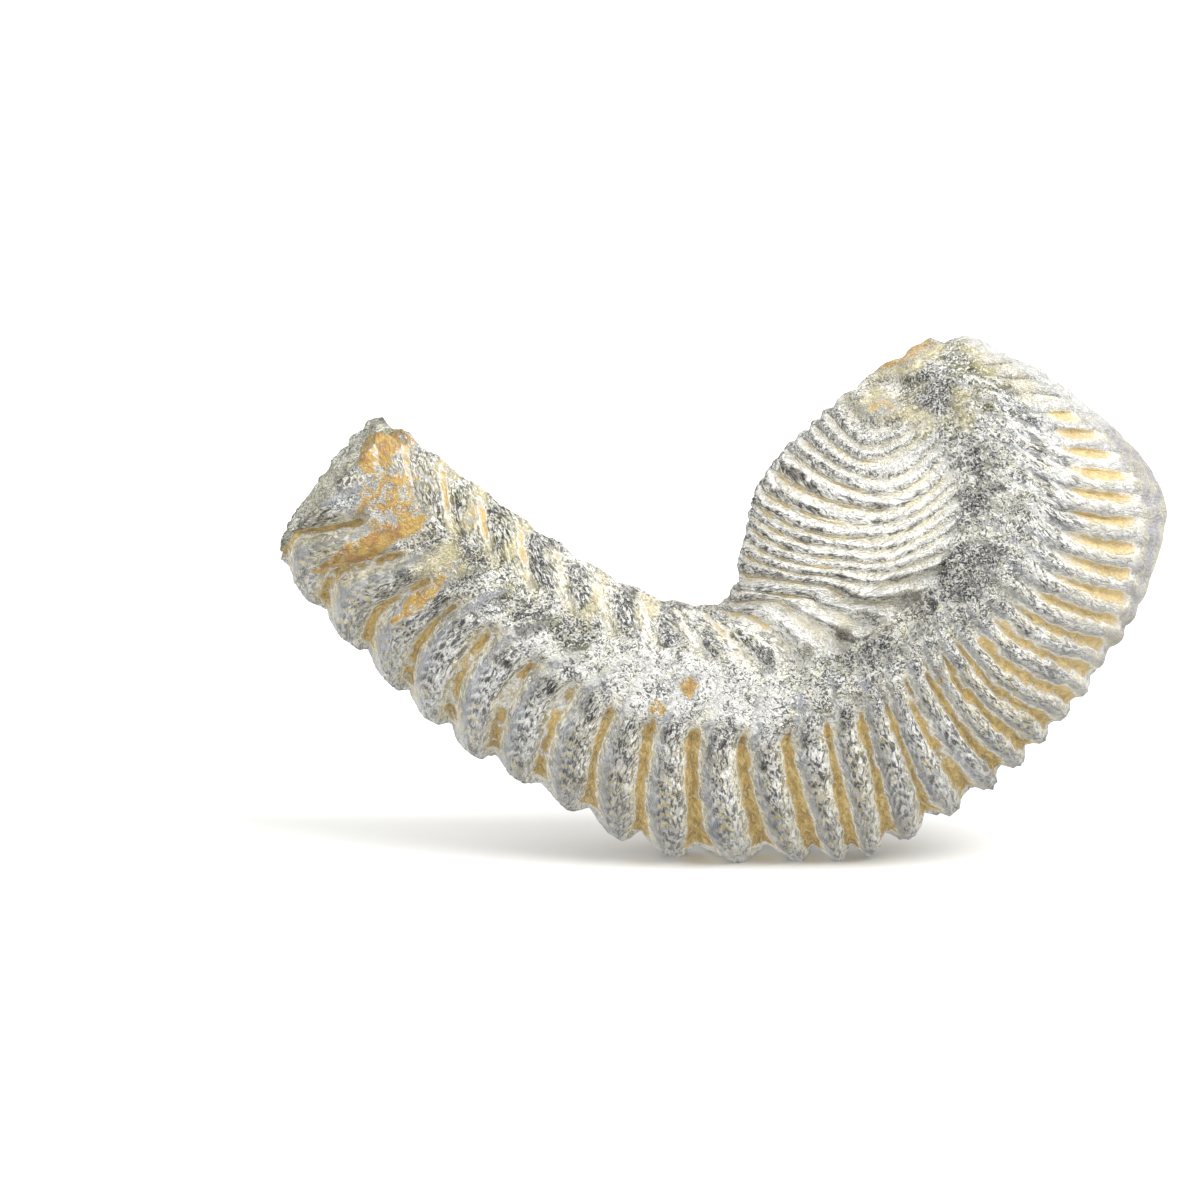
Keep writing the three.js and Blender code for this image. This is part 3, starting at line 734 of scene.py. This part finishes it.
# Worm-like wrinkles of the weathered surface: dark pits, white flecks and threads. They are drawn about
# 0.2 mm wide, because finer ones wouldn't show
quiet = 1
calm = ((wornField, 0.88), (paleCrestField, 0.85), (aboveFan, 0.6), (lowHalf, 0.42), (greyShadedFlank, 0.95))
for field, less in calm:
    quiet = addNode("Math", {0: field, 1: -less, 2: quiet}, **plus)
quiet = addNode("Math", {0: quiet, 1: 1}, **times)
speckle = wrinkle
for field, more in ((mottleOff, 0.3), (darkEdge, -0.02), (bare, -0.02), (crustEdge, 0.03)):
    speckle = addNode("Math", {0: field, 1: more, 2: speckle}, **plus)
darkPart = addNode("MapRange", {0: speckle, 1: 0.45, 2: 0.415}, **soft)
darkStrength = addNode("Math", {0: darkEdge, 1: 0.18, 2: 0.8}, **plus)
darkPits = addNode("Math", {0: darkPart, 1: darkStrength}, **times)
darkPits = addNode("Math", {0: darkPits, 1: quiet}, **times)
color = addNode("Mix", {0: darkPits, 6: color, 7: paint["shade"]}, **over)
whitePart = addNode("MapRange", {0: wrinkle, 1: 0.525, 2: 0.55}, **soft)
whiteStrength = addNode("Math", {0: darkEdge, 1: -0.25, 2: 0.92}, **plus)
whiteStrength = addNode("Math", {0: stripField, 1: -0.12, 2: whiteStrength}, **plus)
whiteFlecks = addNode("Math", {0: whitePart, 1: whiteStrength}, **times)
whiteQuiet = 1
for field, less in ((wornField, 0.7), (greyShadedFlank, 0.75), (lowHalf, 0.35)):
    whiteQuiet = addNode("Math", {0: field, 1: -less, 2: whiteQuiet}, **plus)
whiteFlecks = addNode("Math", {0: whiteFlecks, 1: whiteQuiet}, **times)
color = addNode("Mix", {0: whiteFlecks, 6: color, 7: paint["white"]}, **over)
threadOff = addNode("Math", {0: thread, 1: 0.5}, operation="SUBTRACT")
threadAway = addNode("Math", {0: threadOff}, operation="ABSOLUTE")
threadLine = addNode("MapRange", {0: threadAway, 1: 0.022, 2: 0.012}, **soft)
threadShade = addNode("MapRange", {0: mottle, 1: 0.5, 2: 0.53}, **soft)
threadPaint = addNode("Mix", {0: threadShade, 6: paint["white"], 7: paint["shade"]}, **over)
threadAmount = addNode("Math", {0: threadLine, 1: 0.7}, **times)
threadAmount = addNode("Math", {0: threadAmount, 1: quiet}, **times)
color = addNode("Mix", {0: threadAmount, 6: color, 7: threadPaint}, **over)

# Cream veins round the patches
patchOff = addNode("Math", {0: patch, 1: 0.495}, operation="SUBTRACT")
veinAway = addNode("Math", {0: patchOff}, operation="ABSOLUTE")
veinLine = addNode("MapRange", {0: veinAway, 1: 0.014, 2: 0.005, 4: 0.5}, **soft)
veinAmount = addNode("Math", {0: veinLine, 1: patchHere}, **times)
color = addNode("Mix", {0: veinAmount, 6: color, 7: paint["vein"]}, **over)

# Straw tint beside the clay and on the lobe's edge
strawPatch = addNode("MapRange", {0: mottle, 1: 0.4, 2: 0.55, 3: 0.3, 4: 0.75}, **soft)
strawAmount = addNode("Math", {0: strawPatch, 1: haloField}, **times)
color = addNode("Mix", {0: strawAmount, 6: color, 7: paint["straw"]}, **over)

# Ochre and rust stains are a net with grey cells in it, rimmed with cream
orangeNet = addNode("Math", {0: mottleOff}, operation="ABSOLUTE")
orangeNoisy = addNode("Math", {0: orangeField, 1: 0.5, 2: 0.26}, **plus)
orangeNoisy = addNode("Math", {0: orangeNet, 1: -3.6, 2: orangeNoisy}, **plus)
orangeNoisy = addNode("Math", {0: wrinkleOff, 1: 0.9, 2: orangeNoisy}, **plus)
orangeRim = addNode("MapRange", {0: orangeNoisy, 1: 0.38, 2: 0.42, 4: 0.8}, **soft)
orangeHere = addNode("MapRange", {0: orangeField, 1: 0.05, 2: 0.2}, **soft)
orangeRim = addNode("Math", {0: orangeRim, 1: orangeHere}, **times)
orangeCell = addNode("Math", {0: orangeHere, 1: 0.45}, **times)
color = addNode("Mix", {0: orangeCell, 6: color, 7: paint["blueGrey"]}, **over)
color = addNode("Mix", {0: orangeRim, 6: color, 7: paint["cream"]}, **over)
orangeEdge = addNode("MapRange", {0: orangeNoisy, 1: 0.45, 2: 0.52, 4: 0.85}, **soft)
orangePaint = addNode("MapRange", {0: mottle, 1: 0.47, 2: 0.56}, **soft)
orangeColor = addNode("Mix", {0: orangePaint, 6: paint["ochre"], 7: paint["orange"]}, **over)
orangeEdge = addNode("Math", {0: orangeEdge, 1: orangeHere}, **times)
color = addNode("Mix", {0: orangeEdge, 6: color, 7: orangeColor}, **over)

# Rubbed pale on the bumps
rubbed = addNode("MapRange", {0: hollowField, 1: -0.15, 2: -0.8, 4: 0.45}, **soft)
color = addNode("Mix", {0: rubbed, 6: color, 7: paint["white"]}, **over)

# Fine striae beside the ridge
streakDark = addNode("MapRange", {0: streak, 1: 0.47, 2: 0.44, 4: 0.45}, **soft)
streakDarkHere = addNode("Math", {0: streakDark, 1: striaeField}, **times)
color = addNode("Mix", {0: streakDarkHere, 6: color, 7: paint["shade"]}, **over)
streakPale = addNode("MapRange", {0: streak, 1: 0.52, 2: 0.55, 4: 0.85}, **soft)
streakPaleHere = addNode("Math", {0: streakPale, 1: striaeField}, **times)
color = addNode("Mix", {0: streakPaleHere, 6: color, 7: paint["white"]}, **over)

# The clay lies over the wrinkles, brown where it is thick, and a thin white line runs along its edge
clayRim = addNode("MapRange", {0: clayNoisy, 1: 0.16, 2: 0.3, 4: 0.8}, **soft)
clayHere = addNode("MapRange", {0: clayField, 1: 0.02, 2: 0.1}, **soft)
clayRim = addNode("Math", {0: clayRim, 1: clayHere}, **times)
color = addNode("Mix", {0: clayRim, 6: color, 7: paint["white"]}, **over)
clayFull = addNode("Math", {0: paleClayField, 1: 0.2, 2: 0.64}, **plus)
clayEdge = addNode("MapRange", {0: clayNoisy, 1: 0.26, 2: clayFull, 4: 0.94}, **soft)
clayBase = addNode("Mix", {0: paleClayField, 6: paint["clay"], 7: paint["clayPale"]}, **over)
clayBlotch = addNode("MapRange", {0: mottle, 1: 0.54, 2: 0.4, 4: 0.75}, **soft)
clayDepth = addNode("Math", {0: paleClayField, 1: -0.6, 2: 1}, **plus)
clayBlotch = addNode("Math", {0: clayBlotch, 1: clayDepth}, **times)
clayColor = addNode("Mix", {0: clayBlotch, 6: clayBase, 7: paint["clayDark"]}, **over)
clayFleck = addNode("MapRange", {0: wrinkle, 1: 0.54, 2: 0.6, 4: 0.4}, **soft)
clayColor = addNode("Mix", {0: clayFleck, 6: clayColor, 7: paint["straw"]}, **over)
clayPit = addNode("MapRange", {0: wrinkle, 1: 0.45, 2: 0.38, 4: 0.5}, **soft)
clayPit = addNode("Math", {0: clayPit, 1: clayDepth}, **times)
clayColor = addNode("Mix", {0: clayPit, 6: clayColor, 7: paint["clayDark"]}, **over)
clayShore = addNode("MapRange", {0: clayNoisy, 1: 0.66, 2: 0.42, 4: 0.5}, **soft)
clayShore = addNode("Math", {0: clayShore, 1: clayDepth}, **times)
clayColor = addNode("Mix", {0: clayShore, 6: clayColor, 7: paint["clayDark"]}, **over)
# Painted shade: the top edge of each pale clay lens on the lobe is darker, where the rib above shades the
# groove
lensTopShade = addNode("MapRange", {0: phase, 1: 0.5, 2: 0.38, 4: 0.55}, **soft)
lensSide = addNode("MapRange", {0: phase, 1: 0.0, 2: 0.1}, **soft)
lensTopShade = addNode("Math", {0: lensTopShade, 1: lensSide}, **times)
lensTopShade = addNode("Math", {0: lensTopShade, 1: paleClayField}, **times)
clayColor = addNode("Mix", {0: lensTopShade, 6: clayColor, 7: paint["clay"]}, **over)
color = addNode("Mix", {0: clayEdge, 6: color, 7: clayColor}, **over)
# A thin painted shadow line at the foot of each terrace of the fan, under its steep side
foot = addNode("MapRange", {0: phase, 1: 0.36, 2: 0.41}, **soft)
footEnd = addNode("MapRange", {0: phase, 1: 0.47, 2: 0.43}, **soft)
footLine = addNode("Math", {0: foot, 1: footEnd}, **times)
footHere = addNode("MapRange", {0: angleField, 1: 0.25, 2: 0.55, 4: 0.6}, **soft)
footFan = addNode("Math", {0: fanField, 1: footHere}, **times)
footAmount = addNode("Math", {0: footLine, 1: footFan}, **times)
color = addNode("Mix", {0: footAmount, 6: color, 7: paint["paintedShade"]}, **over)

# Growth lines are nested chevrons on the crests, 1 mm apart, some of them cream
arcTurns = addNode("Math", {0: arcField, 1: 2 * math.pi}, operation="MULTIPLY")
arcNoisy = addNode("Math", {0: mottleOff, 1: 11.0, 2: arcTurns}, **plus)
arcNoisy = addNode("Math", {0: wrinkleOff, 1: 3.0, 2: arcNoisy}, **plus)
arcWave = addNode("Math", {0: arcNoisy}, operation="SINE")
arcDark = addNode("MapRange", {0: arcWave, 1: -0.2, 2: -0.75, 4: 0.22}, **soft)
arcDark = addNode("Math", {0: arcDark, 1: arcPlaceField}, **times)
color = addNode("Mix", {0: arcDark, 6: color, 7: paint["shade"]}, **over)
arcPale = addNode("MapRange", {0: arcWave, 1: 0.3, 2: 0.75, 4: 0.75}, **soft)
arcPale = addNode("Math", {0: arcPale, 1: arcPlaceField}, **times)
arcTint = addNode("MapRange", {0: cloudy, 1: 0.46, 2: 0.54}, **soft)
arcPaint = addNode("Mix", {0: arcTint, 6: paint["white"], 7: paint["straw"]}, **over)
color = addNode("Mix", {0: arcPale, 6: color, 7: arcPaint}, **over)

# Broken face: sediment fill inside a paler rim
faceAmount = addNode("MapRange", {0: mottle, 1: 0.65, 2: 0.42, 4: 0.55}, **soft)
faceHere = addNode("Math", {0: faceAmount, 1: faceField}, **times)
color = addNode("Mix", {0: faceHere, 6: color, 7: paint["fill"]}, **over)

# Painted shade in the hollows: darker where the surface lies under its neighbours, most on the fan
paintedShade = addNode("MapRange", {0: hollowField, 1: 0.1, 2: 0.75}, **soft)
paintedShadeMost = addNode("Math", {0: fanField, 1: 0.36, 2: 0.4}, **plus)
paintedShade = addNode("Math", {0: paintedShade, 1: paintedShadeMost}, **times)
color = addNode("Mix", {0: paintedShade, 6: color, 7: paint["paintedShade"]}, blend_type="MULTIPLY", **over)

# Relief too fine for the mesh
streakHeight = addNode("Math", {0: streak, 1: striaeField}, operation="MULTIPLY")
height = wrinkle
for field, more in ((grit, 0.45), (threadLine, -0.06), (streakHeight, 1.2), (arcDark, -0.2)):
    height = addNode("Math", {0: field, 1: more, 2: height}, **plus)
smoothed = addNode("Math", {0: clayEdge, 1: -0.5, 2: 1}, **plus)
height = addNode("Math", {0: height, 1: smoothed}, operation="MULTIPLY")
bump = addNode("Bump", {"Strength": 1.0, "Distance": 0.0007, "Height": height})
rough = addNode("Math", {0: grit, 1: 0.15, 2: 0.82}, **plus)
surface = addNode("BsdfPrincipled", {
    "Base Color": color, "Roughness": rough, "IOR": 1.5, "Specular IOR Level": 0.25, "Normal": bump,
})
addNode("OutputMaterial", {"Surface": surface})
mesh.materials.clear()
mesh.materials.append(material)
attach(fossil, "root")
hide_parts("oyster_fossil")
print("material made")

# Pale floor, white studio, a soft key light from the right and a weak one from the left
stage = {
    "floor": {"size": 12, "location": (0, 4, 0)},
    "floorColor": "#e3e3e1",
    "worldStrength": 1.25,
    "fromBelow": 1.25,      # the same, for light from below the horizon
    "lights": [             # name, where it shines from, angle in degrees, strength
        ("keyLight", (0.64, -0.58, 1.0), 40, 2.95),
        ("leftLight", (-0.8, -0.6, 0.6), 60, 0.6),
    ],
}
deselectAll()
bpy.ops.mesh.primitive_plane_add(**stage["floor"])
floor = bpy.context.object
floor.name = "floor"
floorMaterial = bpy.data.materials.new("paleFloor")
floorMaterial.use_nodes = True
floorSurface = floorMaterial.node_tree.nodes["Principled BSDF"]
floorSurface.inputs["Base Color"].default_value = linear(stage["floorColor"])
floorSurface.inputs["Roughness"].default_value = 0.8
floorSurface.inputs["Specular IOR Level"].default_value = 0.1
floor.data.materials.append(floorMaterial)

# The floor is hidden from the shell's soft light, so that the studio also lights it from below. The strength
# stays on nodes though both its values are equal: as a plain value it makes the shell a little brighter
floor.visible_diffuse = False
world = bpy.data.worlds.new("studio")
bpy.context.scene.world = world
world.use_nodes = True
tree = world.node_tree      # addNode works in the world from here on
background = tree.nodes["Background"]
upward = addNode("SeparateXYZ", {0: addNode("TexCoord", {}, "Generated")}, "Z")
glow = addNode("MapRange", {0: upward, 1: -0.12, 2: 0.0, 3: stage["fromBelow"], 4: stage["worldStrength"]})
background.inputs["Color"].default_value = (1, 1, 1, 1)
tree.links.new(glow, background.inputs["Strength"])

for name, place, angle, strength in stage["lights"]:
    bpy.ops.object.light_add(type="SUN", location=place)
    light = bpy.context.object
    light.name = name
    light.data.angle = math.radians(angle)
    light.data.energy = strength
    light.rotation_euler = Vector(place).to_track_quat("Z", "Y").to_euler()

cameraSetup = {
    "lens": 100,            # mm, on a sensor 36 mm wide
    "distance": 0.311,      # metres
    "elevation": 7,
    "target": (-0.011127, 0, 0.024004),
}
tilt = math.radians(cameraSetup["elevation"])
target = Vector(cameraSetup["target"])
back = Vector((0, -math.cos(tilt), math.sin(tilt))) * cameraSetup["distance"]
bpy.ops.object.camera_add(location=target + back, rotation=(math.pi / 2 - tilt, 0, 0))
camera = bpy.context.object
camera.data.lens = cameraSetup["lens"]
camera.data.sensor_width = 36
camera.data.clip_start = 0.01
bpy.context.scene.camera = camera
bpy.context.scene.view_settings.view_transform = "Standard"
print("stage ready")
